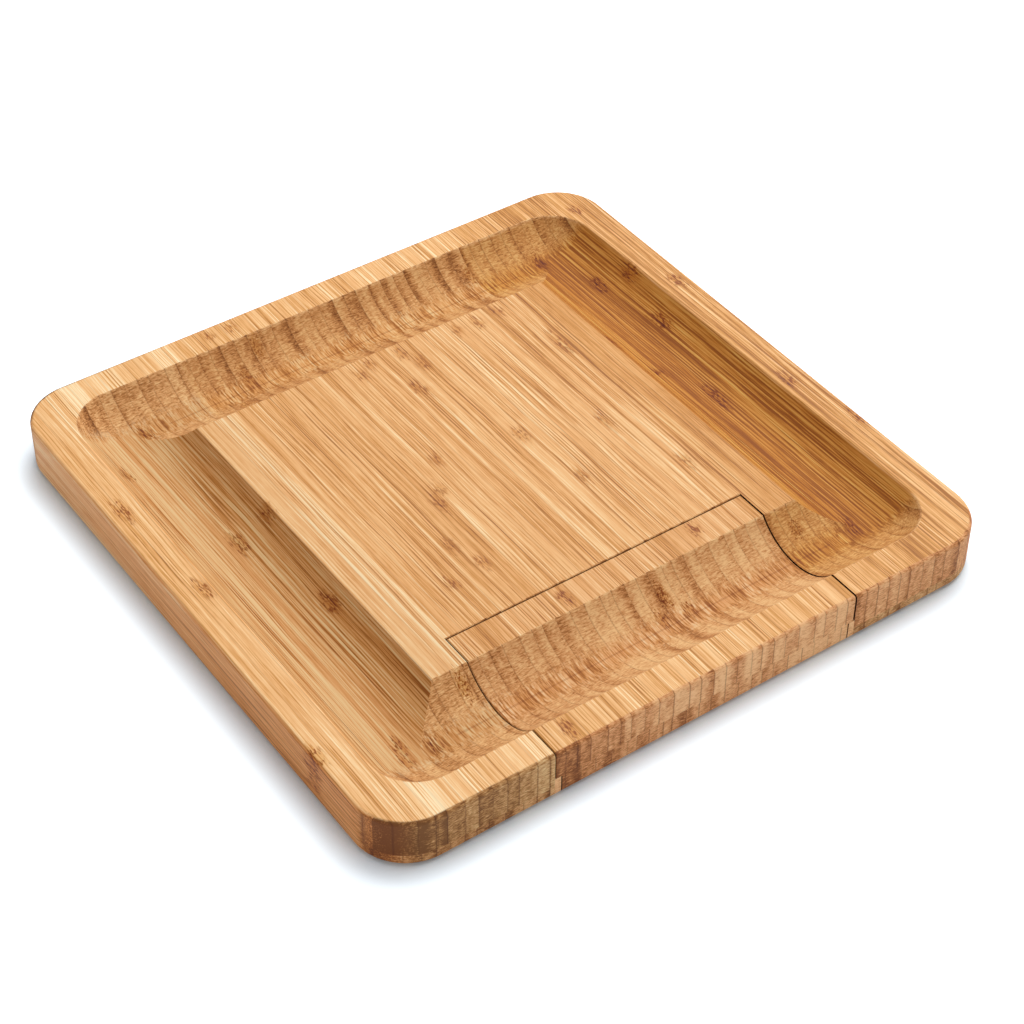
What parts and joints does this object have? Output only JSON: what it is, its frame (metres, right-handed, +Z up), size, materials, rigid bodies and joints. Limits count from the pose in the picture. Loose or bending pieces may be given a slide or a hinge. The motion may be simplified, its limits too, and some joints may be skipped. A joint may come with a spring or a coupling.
{
  "type": "cheese board with drawer",
  "caption": "Square laminated bamboo cheese board with a flat platform inside a round-bottomed cove; a drawer in the front edge slides out with cheese tools in routed pockets.",
  "frame": {"origin": "on the table, under the centre of the board", "axes": "+Z up through the top face; -Y is the front, the side that the drawer slides out of; +X is to the right when seen from the front"},
  "size_m": [0.33, 0.33, 0.026],
  "materials": {
    "bamboo_board": "caramel bamboo strips, sanded and oiled, satin",
    "bamboo_drawer": "caramel bamboo strips, sanded and oiled, satin",
    "bamboo_pale": "natural bamboo, planed",
    "bamboo_handle": "bamboo, sanded and oiled, satin",
    "steel_blade": "stainless steel, fine satin grind",
    "steel_collar": "stainless steel, polished"
  },
  "bodies": {
    "body": {"side_panel_left": "bamboo_board", "side_panel_right": "bamboo_board", "centre_panel": "bamboo_board", "base_left": "bamboo_board", "base_right": "bamboo_board", "base_back": "bamboo_board", "runner_left": "bamboo_pale", "runner_right": "bamboo_pale"},
    "drawer": {"drawer_front": "bamboo_drawer", "drawer_base": "bamboo_drawer", "drawer_tray": "bamboo_drawer", "fork_blade": "steel_blade", "fork_collar": "steel_collar", "fork_handle": "bamboo_handle", "spreader_blade": "steel_blade", "spreader_collar": "steel_collar", "spreader_handle": "bamboo_handle", "chisel_blade": "steel_blade", "chisel_collar": "steel_collar", "chisel_handle": "bamboo_handle", "spade_blade": "steel_blade", "spade_collar": "steel_collar", "spade_handle": "bamboo_handle"}
  },
  "joints": [
    {"name": "drawer_slide", "type": "slide", "parent": "body", "child": "drawer", "axis": [0, -1, 0], "range_m": [0, 0.16]}
  ]
}
